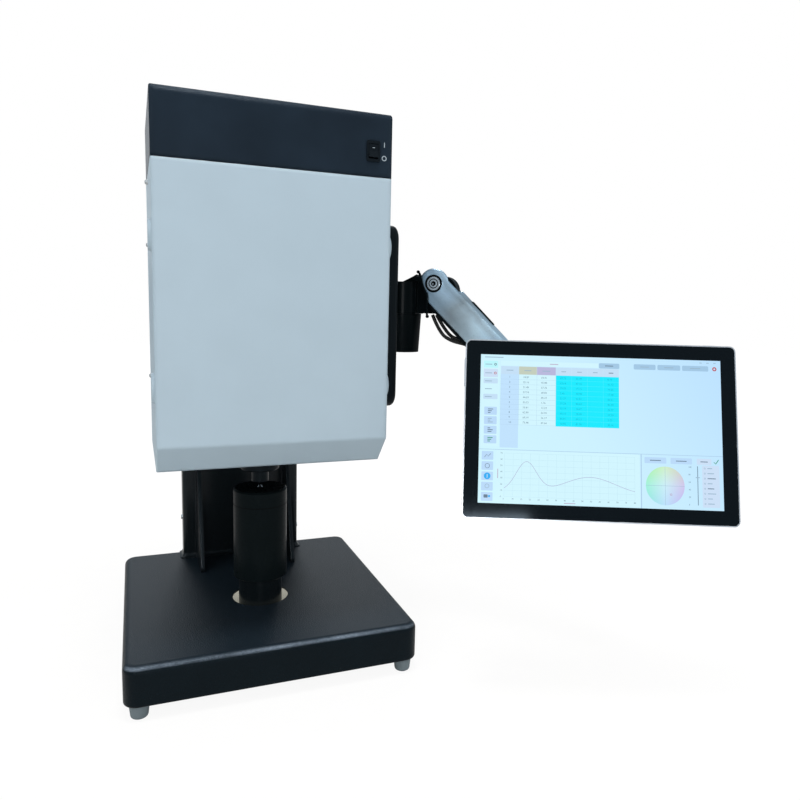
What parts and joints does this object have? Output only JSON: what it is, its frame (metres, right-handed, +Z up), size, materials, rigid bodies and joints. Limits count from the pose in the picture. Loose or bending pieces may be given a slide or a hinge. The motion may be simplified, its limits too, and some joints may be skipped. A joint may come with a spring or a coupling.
{
  "type": "benchtop colorimeter",
  "caption": "Upright bench colorimeter: a box-shaped measuring head over a sprung specimen plunger on a cast stand, with a tablet on a jointed side arm.",
  "frame": {"origin": "centre of the measuring aperture's lower face, where the specimen is pressed", "axes": "+X to the user's right, +Y from the front of the head to its back, +Z up; the bench is at z = -0.2072"},
  "size_m": [0.6253, 0.5267, 0.6295],
  "materials": {
    "black_casting": "fine textured black paint",
    "foot_rubber": "grey moulded rubber",
    "steel_fastener": "plated steel",
    "cover_paint": "satin pale blue-grey paint",
    "band_paint": "satin near-black paint",
    "port_metal": "black anodised",
    "bright_steel": "ground and polished",
    "plunger_anodise": "turned, black anodised",
    "cap_plastic": "dark moulded plastic",
    "bush_plastic": "bearing plastic",
    "sphere_coat": "white diffuse coating inside",
    "frame_alloy": "folded, mill finish",
    "module_plastic": "black housing",
    "board": "green circuit board",
    "socket_plastic": "black moulding",
    "arm_alloy": "polished",
    "arm_plastic": "black moulding",
    "plate_metal": "satin black powder coat",
    "cable_jacket": "black cable jacket",
    "tablet_alloy": "bead-blasted magnesium alloy",
    "screen_glass": "cover glass over the display",
    "switch_plastic": "black switch moulding"
  },
  "bodies": {
    "stand": {"base_casting": "black_casting", "foot_front_left": "foot_rubber", "foot_front_right": "foot_rubber", "foot_rear_left": "foot_rubber", "foot_rear_right": "foot_rubber", "foot_screws": "steel_fastener", "column_casting": "black_casting", "column_bolts": "steel_fastener", "column_side_screws": "steel_fastener", "guide_post": "black_casting", "post_screws": "steel_fastener", "stop_ring": "bush_plastic", "press_spring": "bright_steel", "lower_cover": "cover_paint", "top_cover": "band_paint", "seam_strip": "frame_alloy", "cover_screws": "steel_fastener", "switch_bezel": "switch_plastic", "port_plate": "band_paint", "port_ring": "port_metal", "target_mask": "port_metal", "sphere_lower": "sphere_coat", "sphere_upper": "sphere_coat", "flash_lamps": "frame_alloy", "spine_frame": "frame_alloy", "spectral_module": "module_plastic", "main_board": "board", "power_supply": "frame_alloy", "rear_panel": "plate_metal", "mains_inlet": "socket_plastic", "data_socket": "bright_steel", "head_bracket": "black_casting", "bracket_bolts": "steel_fastener", "wall_plate": "plate_metal", "plate_standoffs": "steel_fastener", "plate_screws": "steel_fastener", "arm_socket": "arm_plastic"},
    "plunger": {"plunger_sleeve": "plunger_anodise", "plunger_cap": "cap_plastic", "plunger_bush": "bush_plastic", "centre_pin": "bright_steel"},
    "rocker": {"switch_rocker": "switch_plastic"},
    "yoke": {"arm_yoke": "arm_plastic", "cable_clip": "arm_plastic"},
    "upper_arm": {"arm_shell": "arm_alloy", "adjuster_strip": "arm_plastic", "arm_pins": "steel_fastener", "pivot_caps": "bright_steel", "gas_spring": "bright_steel", "cable_outer": "cable_jacket", "cable_inner": "cable_jacket"},
    "lower_arm": {"lower_link": "arm_plastic"},
    "far_yoke": {"end_yoke": "arm_plastic"},
    "collar": {"swivel_collar": "arm_plastic"},
    "tilt_head": {"tilt_block": "arm_plastic"},
    "tablet": {"tablet_holder": "plate_metal", "tablet_case": "tablet_alloy", "cover_glass": "screen_glass"},
    "power_key": {"power_button": "tablet_alloy"},
    "volume_key": {"volume_button": "tablet_alloy"}
  },
  "joints": [
    {"name": "plunger_slide", "type": "slide", "parent": "stand", "child": "plunger", "axis": [0, 0, 1], "range_m": [-0.05, 0], "stiffness_N_per_m": 600, "springref_m": 0.02, "deforming": ["press_spring"]},
    {"name": "power_switch", "type": "hinge", "parent": "stand", "child": "rocker", "pos_m": [0.1005, -0.12, 0.3821], "axis": [1, 0, 0], "range_deg": [0, 16]},
    {"name": "wall_swivel", "type": "hinge", "parent": "stand", "child": "yoke", "pos_m": [0.17, -0.034, 0.2471], "axis": [0, 0, 1], "range_deg": [-25, 90]},
    {"name": "arm_lift", "type": "hinge", "parent": "yoke", "child": "upper_arm", "pos_m": [0.2045, -0.06194, 0.2471], "axis": [-0.6293, -0.7771, 0], "range_deg": [0, 80], "deforming": ["cable_outer", "cable_inner"]},
    {"name": "lower_link_turn", "type": "hinge", "parent": "yoke", "child": "lower_arm", "pos_m": [0.20606, -0.0632, 0.2221], "axis": [-0.6293, -0.7771, 0], "range_deg": [0, 80]},
    {"name": "far_level", "type": "hinge", "parent": "upper_arm", "child": "far_yoke", "pos_m": [0.33199, -0.16518, 0.08589], "axis": [-0.6293, -0.7771, 0], "range_deg": [-80, 0]},
    {"name": "head_swivel", "type": "hinge", "parent": "far_yoke", "child": "collar", "pos_m": [0.3501, -0.17984, 0.08079], "axis": [0, 0, 1], "range_deg": [-10, 80]},
    {"name": "tablet_tilt", "type": "hinge", "parent": "collar", "child": "tilt_head", "pos_m": [0.33635, -0.21072, 0.08079], "axis": [0.9135, -0.4067, 0], "range_deg": [-5, 45]},
    {"name": "tablet_turn", "type": "hinge", "parent": "tilt_head", "child": "tablet", "pos_m": [0.32579, -0.23444, 0.08819], "axis": [-0.3912, -0.8786, 0.274], "range_deg": [0, 90]},
    {"name": "power_key_press", "type": "slide", "parent": "tablet", "child": "power_key", "axis": [-0.1114, -0.2503, -0.9617], "range_m": [0, 0.0006], "stiffness_N_per_m": 400, "springref_m": -0.001},
    {"name": "volume_key_press", "type": "slide", "parent": "tablet", "child": "volume_key", "axis": [0.9135, -0.4067, 0], "range_m": [0, 0.0006], "stiffness_N_per_m": 400, "springref_m": -0.001}
  ],
  "couplings": [
    {"joint": "lower_link_turn", "follows": "arm_lift", "ratio": 1},
    {"joint": "far_level", "follows": "arm_lift", "ratio": -1}
  ]
}
